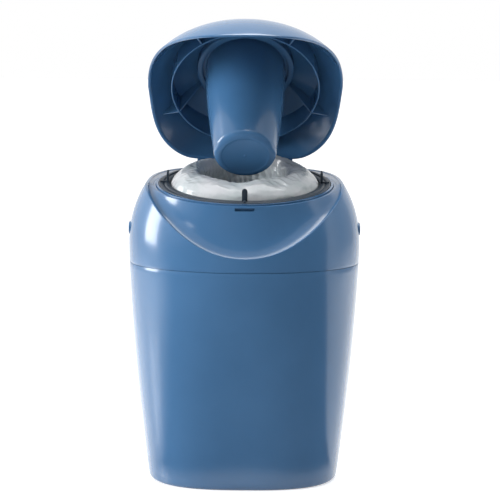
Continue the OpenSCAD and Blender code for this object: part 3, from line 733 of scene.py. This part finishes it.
liner = dict(skirtR=80.2, skirtEdge=1.5, thick=1.5, collarIn=46.6, collarOut=52.7, collarEdge=32.5,
             ribAngles=(-125.5, -54.5, 25, 155), ribReach=100.25, ribT=1.5, sink=2.0)


def lidTube(name, inner, outer, edge, fillet=0.5, around=240):
    a = turns(around)
    g = liner["sink"]
    topOut, topIn = domeAbove(outer + 0 * a, a, g), domeAbove(inner + 0 * a, a, g)
    rows = [(outer, mix(edge + fillet, topOut, f)) for f in np.linspace(1, 0.02, 10)]
    quarter = np.linspace(0, math.pi / 2, 5)
    rows += [(outer - fillet * (1 - math.cos(b)), edge + fillet * (1 - math.sin(b))) for b in quarter]
    rows += [(inner + fillet * (1 - math.cos(b)), edge + fillet * (1 - math.sin(b))) for b in quarter[::-1]]
    rows += [(inner, mix(edge + fillet, topIn, f)) for f in np.linspace(0.02, 1, 10)]
    rings = [deckPoint(r + 0 * a, a, n + 0 * a) for r, n in rows]
    return stacked(name, [swung(r) for r in rings], "lid", blueGloss, "body_blue", loop=True)


def lidRib(name, angle):
    a0 = math.radians(angle)
    start = liner["collarOut"] - 1.5
    knee = liner["skirtR"] - 1
    rs = np.linspace(start, liner["ribReach"], 60)
    lowLine = np.interp(rs, [start, knee, liner["ribReach"]],
                        [liner["collarEdge"] + 3, liner["skirtEdge"] + 0.5, liner["skirtEdge"] + 5])
    top = domeAbove(rs, a0 + 0 * rs, liner["sink"])
    keep = top > lowLine + 0.4
    rs, lowLine, top = rs[keep], lowLine[keep], top[keep]
    half = liner["ribT"] / 2
    # the rib's lower edge, from one face round to the other: sideways, up
    lip = [(half * across, up) for across, up in
           ((-1, 1.0), (-1, 0.35), (-0.6, 0.08), (0, 0), (0.6, 0.08), (1, 0.35), (1, 1.0))]
    rings = []
    for r, lowN, topN in zip(rs, lowLine, top):
        section = [(-half, topN)] + [(o, lowN + h) for o, h in lip] + [(half, topN)]
        rings.append([onDeck(r * np.cos(a0) - o * np.sin(a0), r * np.sin(a0) + o * np.cos(a0), np.array(n))
                      for o, n in section])
    rings = [swung(np.array(r)) for r in rings]
    return stacked(name, rings, "lid", blueGloss, "body_blue", caps=(True, True))


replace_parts(lidShell(), "lid_shell")
skirt = lidTube("lid_skirt", liner["skirtR"] - liner["thick"], liner["skirtR"], liner["skirtEdge"])
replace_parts(skirt, "lid_liner")
lidTube("lid_collar", liner["collarIn"], liner["collarOut"], liner["collarEdge"], 1.1, 160)
for k, angle in enumerate(liner["ribAngles"]):
    lidRib(f"lid_rib_{k + 1}", angle)
rearWeb = [(lidHinge["flatBack"] - 1, lidHinge["z"] + 3.5), (lidHinge["flatBack"] - 1, lidHinge["z"] - 6.5)]
for name, side in sides:
    knuckle("lid_knuckle_" + name, side * lidHinge["lidAt"], lidHinge["lidWidth"], lidHinge, rearWeb, "lid",
            turned=True)
print("lid made")

# plunger
plungerLook = dict(tipR=33, rootR=43.7, reach=101, round=(7.6, 6.5), discR=25.2, step=0.35, wall=2.2,
                   mark=(1.5, 0.25), waist=(0.71, 0.55), belly=1.4, softness=0.6)


def plungerPiece():
    p = plungerLook
    tip = liner["skirtEdge"] - p["reach"]
    edge = liner["collarEdge"]
    markR, markRise = p["mark"]
    roundR, roundH = p["round"]
    flat = tip + p["step"]
    profile = [(0.01, flat - markRise), (markR - 0.3, flat - markRise), (markR, flat - markRise * 0.5),
               (markR + 0.25, flat), (markR + 1.0, flat)]
    profile += [(r, flat) for r in np.linspace(4, p["discR"] - 1.4, 12)]
    profile += [(p["discR"] - 0.9, flat - 0.06), (p["discR"] - 0.3, tip + 0.08), (p["discR"] + 0.1, tip)]
    for k in range(13):
        b = math.pi / 2 * k / 12
        profile.append((p["tipR"] - roundR * (1 - math.sin(b)), tip + roundH * (1 - math.cos(b))))
    waist = (mix(p["tipR"], p["rootR"], p["waist"][0]), mix(tip, edge, p["waist"][1]))
    lowZ = tip + roundH
    for f in np.linspace(0, 1, 40)[1:]:
        # a soft bend through the waist
        z = mix(lowZ, edge, f)
        straight = np.interp(z, [lowZ, waist[1], edge], [p["tipR"], waist[0], p["rootR"]])
        belly = (1 - f) ** 2 * p["tipR"] + 2 * f * (1 - f) * (waist[0] + p["belly"]) + f * f * p["rootR"]
        profile.append((mix(straight, belly, p["softness"]), z))
    top = edge + 5.6
    flange = liner["collarOut"] - 2.3
    wall = p["wall"]
    profile += [(p["rootR"], top - wall), (flange, top - wall), (flange, top), (p["rootR"] - wall, top),
                (p["rootR"] - wall, edge), (waist[0] - wall, waist[1]), (p["tipR"] - wall, lowZ),
                (p["tipR"] - roundR, tip + wall), (0.01, tip + wall)]

    def openPlace(r, a, d):
        return swung(deckPoint(r, a, d))
    return lathe("plunger_cup", profile, "lid", blueGloss, "body_blue", 160, where=openPlace, weld=0.05)


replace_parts(plungerPiece(), "plunger")
print("plunger made")

# twist ring
ringLook = dict(inR=80, outR=91.5, t=2.5, skirtR=87.1, skirtT=1.8, skirtDrop=4, groove=(4.2, 4.9, 6.1, 6.8),
                grooveDeep=0.9, postIn=80.8, postT=2.4, postW=5.8, postH=13)


def twistRing():
    p = ringLook
    inR, outR, t, skirtR, deep = p["inR"], p["outR"], p["t"], p["skirtR"], p["grooveDeep"]
    skirtIn, low = skirtR - p["skirtT"], -t - p["skirtDrop"]
    profile = [(inR, -t), (skirtIn, -t), (skirtIn, low), (skirtR, low), (skirtR, -t), (outR, -t), (outR, 0)]
    profile += [(outR - inset, z) for inset, z in zip(p["groove"], (0, -deep, -deep, 0))]
    profile.append((inR, 0))
    eases = [0.3, 0.2, 0.3, 0.3, 0.2, 0.3, 0.7, 0.5, 0.4, 0.4, 0.5, 0.7]
    return lathe("twist_ring_flange", closedProfile(profile, eases, 4), "ring", greySatin, "ring_grey", 256)


def gripPost(name, angle):
    p = ringLook
    half, top = p["postW"] / 2, p["postH"]
    outline = [(-half, -1.2), (half, -1.2)]
    outline += [(half * math.cos(a), top - half + half * math.sin(a)) for a in np.linspace(0, math.pi, 17)]
    piece = prism(name, outline, p["postIn"], p["postIn"] + p["postT"], finish=greySatin)
    eased(piece, 0.55)
    rib = prism(name + "_foot", [(-1.2, -1), (1.2, -1), (1.0, 1.1), (0.7, 1.3), (-0.7, 1.3), (-1.0, 1.1)],
                p["postIn"] + 1.5, p["outR"] - 1.2, finish=greySatin)
    joined([piece, rib])
    a = math.radians(angle)
    movePoints(piece, lambda q: onDeck(np.cos(a) * q[:, 0] - np.sin(a) * q[:, 1],
                                       np.sin(a) * q[:, 0] + np.cos(a) * q[:, 1], q[:, 2]))
    smoothed(piece, 40)
    belongs(piece, "ring")


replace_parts(twistRing(), "twist_ring")
for name, angle in (("left", 180), ("front", -90), ("right", 0)):
    gripPost("grip_post_" + name, angle)
print("twist ring made")

# film over the throat
film = dict(edgeR=79.3, crest=13.5, throatR=45, sides=640, lowest=-101.6, thick=0.12, seed=11, big=3.2,
            folds=2.1, creases=0.9, fine=0.28, pleats=(1.9, 4.6), pleatCount=46, lift=3.5, liftAt=62,
            liftWide=55, mound=58, heldTop=10, heldEnd=14, loose=9.0, inThroat=2.1)


def softFold(x, ease):
    # triangle wave between -0.5 and 0.5 whose creases are eased
    d = x - np.floor(x) - 0.5
    return 2 * np.sqrt(d * d + ease * ease) - 0.5


def foldField(points, count, size, ease, rng, warp):
    # folds in a few directions laid over each other, as in crumpled film
    total = np.zeros(len(points))
    for _ in range(count):
        way = rng.normal(size=3)
        way /= np.linalg.norm(way)
        far = (points + warp * rng.uniform(0.7, 1.3)) @ way / (size * rng.uniform(0.75, 1.4))
        total += softFold(far + rng.uniform(0, 1), ease)
    return total / math.sqrt(count)


def filmLine():
    # radius and height of the drawn film, from its held edge over the crest and down the throat
    e, c, r = film["edgeR"], film["crest"], film["throatR"]
    knots = [(e, -0.4 * c), (e - 1.5, 0.1 * c), (e - 5, 0.42 * c), (e - 11, 0.76 * c), (e - 19, 0.98 * c),
             (r + 8, c), (r + 3.5, 0.82 * c), (r + 1.2, 0.42 * c), (r, -6), (r - 2, -24), (r - 3.5, -44),
             (r - 6, -66), (r - 8.2, -84), (r - 10.4, film["lowest"])]
    points = np.array(knots, float)
    out = []
    for k in range(len(points) - 1):
        p0, p1, p2, p3 = points[max(0, k - 1)], points[k], points[k + 1], points[min(len(points) - 1, k + 2)]
        for f in np.linspace(0, 1, 12, endpoint=False):
            out.append(0.5 * (2 * p1 + (p2 - p0) * f + (2 * p0 - 5 * p1 + 4 * p2 - p3) * f * f
                              + (3 * p1 - p0 - 3 * p2 + p3) * f ** 3))
    out.append(points[-1])
    return np.array(out)


def filmPiece():
    line = filmLine()
    length = np.concatenate([[0], np.cumsum(np.hypot(*np.diff(line, axis=0).T))])
    mound = film["mound"]      # length along the film to the throat's rim
    at = np.concatenate([np.linspace(0, mound, 110), np.linspace(mound, length[-1], 60)[1:]])
    rad, high = np.interp(at, length, line[:, 0]), np.interp(at, length, line[:, 1])
    slopeR, slopeH = np.gradient(rad, at), np.gradient(high, at)
    size = np.hypot(slopeR, slopeH)
    # the folds move the film up on its crest and outwards in the throat
    pushR, pushH = -slopeH / size, -slopeR / size
    a = turns(film["sides"])
    s, angle = np.meshgrid(at, a, indexing="ij")
    r0, h0 = np.repeat(rad[:, None], len(a), 1), np.repeat(high[:, None], len(a), 1)
    points = np.stack([r0 * np.cos(angle), r0 * np.sin(angle), s * 0.8], -1).reshape(-1, 3)
    rng = np.random.default_rng(film["seed"])
    warp = np.zeros_like(points)
    for _ in range(7):
        way, shift = rng.normal(size=3), rng.normal(size=3)
        along = points @ (way / np.linalg.norm(way))
        wave = np.sin(along * 2 * math.pi / rng.uniform(22, 60) + rng.uniform(0, 6.3))
        warp += wave[:, None] * shift * 1.3
    big = foldField(points, 3, 46, 0.16, rng, warp)
    folds = foldField(points, 4, 21, 0.05, rng, warp)
    creases = foldField(points, 5, 9.5, 0.03, rng, warp * 0.8)
    fine = foldField(points, 5, 4.2, 0.04, rng, warp * 0.8)
    shape = s.shape
    held = smooth(s / film["heldTop"]) * smooth((length[-1] - s) / film["heldEnd"])
    free = held * np.where(s < mound, 1, np.clip(1 - (s - mound) / 60, 0.25, 1))
    gather = smooth((s - 22) / 30)
    wander = (film["pleatCount"] * angle / (2 * math.pi) + 0.5 * np.sin(3 * angle + 1)
              + 0.35 * np.sin(5 * angle + s * 0.05) + 0.16 * warp[:, 0].reshape(shape))
    pleats = softFold(wander, 0.08) * (0.65 + 0.35 * np.sin(4 * angle + 2))
    off = free * (film["big"] * big.reshape(shape) + film["folds"] * folds.reshape(shape)
                  + film["creases"] * creases.reshape(shape) + film["fine"] * fine.reshape(shape))
    # bunched up at the back on the right
    bunch = smooth(1 - np.abs(angle - math.radians(film["liftAt"])) / math.radians(film["liftWide"]))
    off += free * film["lift"] * bunch * (s < mound)
    off += gather * held * mix(*film["pleats"], smooth((s - mound + 12) / 30)) * pleats
    limit = np.where(s > mound, film["inThroat"], film["loose"])         # the plunger passes inside the tube
    off = np.clip(off, -limit, limit)
    ring = deckPoint(r0 + off * pushR[:, None], angle, h0 + off * pushH[:, None])
    return list(ring), float(length[-1])


filmRings, filmLength = filmPiece()
filmCover = stacked("film_over_throat", filmRings, "ring", filmOver, "film", sharp=180)
filmSkin = filmCover.modifiers.new("film", "SOLIDIFY")
filmSkin.thickness, filmSkin.offset = film["thick"] * mm, 0
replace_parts(filmCover, "film_mound")
# cut from a tube of film laid flat and opened: as wide as the ring's edge is long
print("film made, drawn length in mm", round(filmLength))

# film parcel under the gripper
parcel = dict(length=88, top=-101.9, sides=200, rows=110)


def ridge(x, y, z):
    # sharp-backed folds
    return noise.ridged_multi_fractal(Vector((x, y, z)), 0.9, 2.1, 4, 0.9, 1.8)


def parcelPiece():
    top = deckPoint(np.array(0.0), np.array(0.0), np.array(parcel["top"]))
    # share of its length and radius: gathered neck, twist, the parcel, its knot and the tail
    knots = [(0, 38), (0.04, 24), (0.12, 8), (0.2, 6), (0.3, 12), (0.45, 24), (0.62, 28), (0.78, 21),
             (0.88, 8), (0.93, 9), (1, 5)]
    shares, radii = zip(*knots)
    angles = turns(parcel["sides"])
    rings = []
    for f in np.linspace(0, 1, parcel["rows"]):
        r = float(np.interp(f, shares, radii))
        lean = math.tan(tilt) * max(0, 1 - f * 25)
        ring = []
        for a in angles:
            twist = a + 5 * f
            fold = ridge(math.cos(twist) * 2.4, math.sin(twist) * 2.4, f * 3) - 1
            small = noise.noise(Vector((math.cos(a) * r * 0.25, math.sin(a) * r * 0.25, f * 22)))
            rr = r * (1 + 0.06 * fold) + 0.5 * small
            ring.append((rr * math.cos(a), top[1] + rr * math.sin(a),
                         top[2] - parcel["length"] * f + rr * math.sin(a) * lean))
        rings.append(np.array(ring))
    return stacked("film_parcel", rings, "housing", filmFolded, "film", caps=(True, True), sharp=180)


parcelCover = parcelPiece()
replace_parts(parcelCover, "film_bag")
print("parcel made")

# release buttons and their springs
buttonLook = dict(face=123.3, flangeIn=111.6, flangeOut=117.4, grow=2, dish=0.35)


def releaseButton(name, side, body):
    p, c = buttonLook, (0, button["z"])
    face, low = p["face"], p["face"] - p["dish"]
    sections = [(p["flangeIn"], p["grow"]), (p["flangeOut"], p["grow"]), (p["flangeOut"], 0.0),
                (face - 0.7, 0.0), (face - 0.2, -0.25), (face, -0.8), (low, -3.0), (low, -5.8)]
    rings = [np.array([(side * x, y, z) for y, z in stadium(button["width"], button["height"], grow, c)])
             for x, grow in sections]
    return stacked(name, rings, body, blueGloss, "body_blue", caps=(True, True))


armLook = dict(halfWidth=6, low=217, high=262, inner=111.6, outer=114.0, noseHalf=5, noseTop=219.8,
               noseInner=113.6, noseOuter=114.5)


def latchArm(name, side, body):
    p = armLook
    arm = prism(name, box(-p["halfWidth"], p["halfWidth"], p["low"], p["high"]),
                *spanOf(side, p["inner"], p["outer"]), finish=blueGloss)
    nose = prism(name + "_nose", box(-p["noseHalf"], p["noseHalf"], p["low"], p["noseTop"]),
                 *spanOf(side, p["noseInner"], p["noseOuter"]), finish=blueGloss)
    joined([arm, nose])
    eased(arm, 0.3, 2)
    belongs(arm, body)


springLook = dict(coils=4, wire=0.42, r=2.95, start=103.6, end=111.0, steps=110, wireSides=10)


def coilSpring(name, side):
    p = springLook
    rings = []
    for f in np.linspace(0, 1, p["steps"] + 1):
        a = 2 * math.pi * p["coils"] * f
        x = side * mix(p["start"], p["end"], f)
        centre = np.array([x, p["r"] * math.cos(a), button["z"] + p["r"] * math.sin(a)])
        outward = np.array([0, math.cos(a), math.sin(a)])
        rings.append([centre + p["wire"] * (math.cos(b) * outward + math.sin(b) * np.array([1, 0, 0]))
                      for b in turns(p["wireSides"])])
    return stacked(name, rings, "housing", zincSteel, "steel", caps=(True, True))


for name, side in sides:
    body = "button_" + name
    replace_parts(releaseButton("button_cap_" + name, side, body), "release_button_" + name)
    latchArm("latch_arm_" + name, side, body)
    spring = coilSpring("coil_spring_" + name, side)
    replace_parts(spring, "button_spring_" + name)
    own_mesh(spring)
print("buttons made")

# finishes for the CAD pieces that stay
nodeFinish = dict(cassette_well=blueGloss, well_screws=zincSteel, film_gripper=greySatin,
                  gripper_screws=zincSteel, cutter_body=greySatin, cutter_blade=zincSteel,
                  cassette_carrier=greySatin, cassette_body=greenPlain, cassette_cap=greenPlain,
                  film_pack=filmFolded, lid_catch=blueGloss, lid_hinge_pins=zincSteel,
                  tub_hinge_pin=zincSteel)
for node, finish in nodeFinish.items():
    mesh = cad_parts[node].data
    mesh.materials.clear()
    mesh.materials.append(finish)

# floor, backdrop and light
studio = dict(floorSize=30, floorLift=0.55, worldFill=0.34, flagR=3.4, flagHigh=4.0, flagRight=83,
              flagLeft=(62, 92), apronFrom=0.125, apronFull=0.17, cloth=0.12, cardEnd=135, card=(1.3, 0.6))


def mathNode(tree, kind, a, b=None):
    node = tree.nodes.new("ShaderNodeMath")
    node.operation = kind
    for k, value in enumerate((a, b)):
        if value is None:
            continue
        if isinstance(value, (int, float)):
            node.inputs[k].default_value = value
        else:
            tree.links.new(value, node.inputs[k])
    return node.outputs[0]


def whiteForCamera(tree):
    # 1 for camera, glossy and transmission rays
    path = tree.nodes.new("ShaderNodeLightPath").outputs
    either = mathNode(tree, "MAXIMUM", path["Is Camera Ray"], path["Is Glossy Ray"])
    return mathNode(tree, "MAXIMUM", either, path["Is Transmission Ray"])


def mixedShader(tree, share, first, second):
    node = tree.nodes.new("ShaderNodeMixShader")
    for k, source in enumerate((share, first, second)):
        tree.links.new(source, node.inputs[k])
    return node.outputs[0]


def between(tree, value, low, high):
    # rises softly from 0 to 1
    node = tree.nodes.new("ShaderNodeMapRange")
    node.interpolation_type = "SMOOTHSTEP"
    node.inputs["From Min"].default_value, node.inputs["From Max"].default_value = low, high
    tree.links.new(value, node.inputs["Value"])
    return node.outputs[0]


def screened(tree, x, y):
    # share of the dark screen at a place round the object: 0 degrees is the camera's side and the right is
    # positive; it ends sharply on the right and fades out on the left
    ahead = mathNode(tree, "ARCTAN2", x, mathNode(tree, "MULTIPLY", y, -1))
    left = between(tree, ahead, -math.radians(studio["flagLeft"][1]), -math.radians(studio["flagLeft"][0]))
    right = mathNode(tree, "LESS_THAN", ahead, math.radians(studio["flagRight"]))
    return mathNode(tree, "MULTIPLY", left, right)


def makeFloor():
    half = studio["floorSize"] / 2
    mesh = bpy.data.meshes.new("floor")
    mesh.from_pydata([(x, y, 0) for x, y in box(-half, half, -half, half)], [], [(0, 1, 2, 3)])
    finish, tree, out = emptyFinish("pale_floor")
    flat = tree.nodes.new("ShaderNodeBsdfPrincipled")
    where = onObject(tree)
    shade = noiseNode(tree, where, 3, 3)
    tones = ramp(tree, shade, [(0.3, (0.80, 0.81, 0.82)), (0.7, (0.83, 0.83, 0.84))])
    tree.links.new(tones, flat.inputs["Base Color"])
    flat.inputs["Roughness"].default_value = 0.28
    flat.inputs["IOR"].default_value = 1.3
    glow = tree.nodes.new("ShaderNodeEmission")
    lift = mathNode(tree, "MULTIPLY", whiteForCamera(tree), studio["floorLift"])
    tree.links.new(lift, glow.inputs["Strength"])
    both = tree.nodes.new("ShaderNodeAddShader")
    tree.links.new(flat.outputs[0], both.inputs[0])
    tree.links.new(glow.outputs[0], both.inputs[1])
    # a dark apron in front, seen only in the gloss
    spot = tree.nodes.new("ShaderNodeSeparateXYZ")
    tree.links.new(where, spot.inputs[0])
    x, y = spot.outputs["X"], spot.outputs["Y"]
    squares = [mathNode(tree, "MULTIPLY", v, v) for v in (x, y)]
    far = mathNode(tree, "SQRT", mathNode(tree, "ADD", *squares))
    share = mathNode(tree, "MULTIPLY", between(tree, far, studio["apronFrom"], studio["apronFull"]),
                     screened(tree, x, y))
    share = mathNode(tree, "MULTIPLY", share, tree.nodes.new("ShaderNodeLightPath").outputs["Is Glossy Ray"])
    cloth = tree.nodes.new("ShaderNodeEmission")
    cloth.inputs["Strength"].default_value = studio["cloth"]
    tree.links.new(mixedShader(tree, share, both.outputs[0], cloth.outputs[0]), out.inputs[0])
    mesh.materials.append(finish)
    newObject("floor", mesh)


def makeWorld():
    world = bpy.data.worlds.new("white_studio")
    bpy.context.scene.world = world
    world.use_nodes = True
    tree = world.node_tree
    tree.nodes.clear()
    out = tree.nodes.new("ShaderNodeOutputWorld")
    back = tree.nodes.new("ShaderNodeBackground")
    back.inputs["Color"].default_value = (1, 1, 1, 1)
    strength = level(tree, whiteForCamera(tree), studio["worldFill"], 1.0)
    tree.links.new(strength, back.inputs["Strength"])
    tree.links.new(back.outputs[0], out.inputs[0])


def softbox(name, place, aim, size, power, gloss=True, diffuse=True):
    lamp = bpy.data.lights.new(name, "AREA")
    lamp.shape, lamp.size, lamp.size_y = "RECTANGLE", size[0], size[1]
    lamp.energy = power
    thing = newObject(name, lamp)
    thing.location = place
    thing.rotation_euler = (Vector(aim) - Vector(place)).to_track_quat("-Z", "Y").to_euler()
    thing.visible_glossy, thing.visible_diffuse = gloss, diffuse


def arcScreen(name, start, end, finish):
    # upright screen round the object, seen only in the gloss
    r, steps = studio["flagR"], 60
    points, faces = [], []
    for k in range(steps + 1):
        a = math.radians(mix(start, end, k / steps))
        points += [(r * math.sin(a), -r * math.cos(a), z) for z in (0.02, studio["flagHigh"])]
        if k < steps:
            faces.append((2 * k, 2 * k + 2, 2 * k + 3, 2 * k + 1))
    mesh = bpy.data.meshes.new(name)
    mesh.from_pydata(points, [], faces)
    mesh.materials.append(finish)
    screen = newObject(name, mesh)
    screen.visible_camera = screen.visible_transmission = False
    screen.visible_diffuse = screen.visible_shadow = False


def screenFinish(name):
    finish, tree, out = emptyFinish(name)
    spot = tree.nodes.new("ShaderNodeSeparateXYZ")
    where = onObject(tree)
    tree.links.new(where, spot.inputs[0])
    light = tree.nodes.new("ShaderNodeEmission")
    return finish, tree, out, light, where, spot.outputs["X"], spot.outputs["Y"]


def makeScreens():
    # dark cloth round the camera's side, so that the plastic isn't washed out
    finish, tree, out, cloth, where, x, y = screenFinish("dark_cloth")
    weave = noiseNode(tree, where, 4, 2)
    dark, paler = (studio["cloth"] * 0.9,) * 3, (studio["cloth"] * 1.1,) * 3
    tree.links.new(ramp(tree, weave, [(0.3, dark), (0.7, paler)]), cloth.inputs["Color"])
    clear = tree.nodes.new("ShaderNodeBsdfTransparent")
    tree.links.new(mixedShader(tree, screened(tree, x, y), clear.outputs[0], cloth.outputs[0]), out.inputs[0])
    arcScreen("dark_screen", -studio["flagLeft"][1], studio["flagRight"], finish)
    # white card on the right, brightest where the cloth ends
    finish, tree, out, card, where, x, y = screenFinish("white_card")
    ahead = mathNode(tree, "ARCTAN2", x, mathNode(tree, "MULTIPLY", y, -1))
    away = between(tree, ahead, math.radians(studio["flagRight"]), math.radians(studio["flagRight"] + 25))
    tree.links.new(level(tree, away, *studio["card"]), card.inputs["Strength"])
    tree.links.new(card.outputs[0], out.inputs[0])
    arcScreen("white_card", studio["flagRight"], studio["cardEnd"], finish)


makeFloor()
makeWorld()
makeScreens()
softbox("key_left", (-1.7, -0.75, 0.9), (0, 0, 0.28), (1.0, 1.0), 30, gloss=False)
softbox("strip_left", (-1.85, 0.30, 0.75), (0, 0, 0.30), (0.7, 1.0), 26, diffuse=False)
softbox("side_left", (-1.9, 0.25, 0.6), (0, 0, 0.20), (1.2, 1.2), 16, gloss=False)
softbox("fill_front", (-0.9, -2.4, 0.9), (0, 0, 0.28), (1.0, 1.0), 5, gloss=False)
softbox("high_left", (-1.45, -1.25, 2.0), (0, 0, 0.30), (0.4, 0.4), 2, diffuse=False)
softbox("overhead", (0.1, 0.1, 2.1), (0, 0, 0.3), (1.4, 1.4), 40)
softbox("rim_right", (1.7, 0.7, 0.4), (0, 0, 0.15), (1.0, 1.4), 14, gloss=False)
print("studio made")

bpy.context.scene.view_settings.view_transform = "Standard"
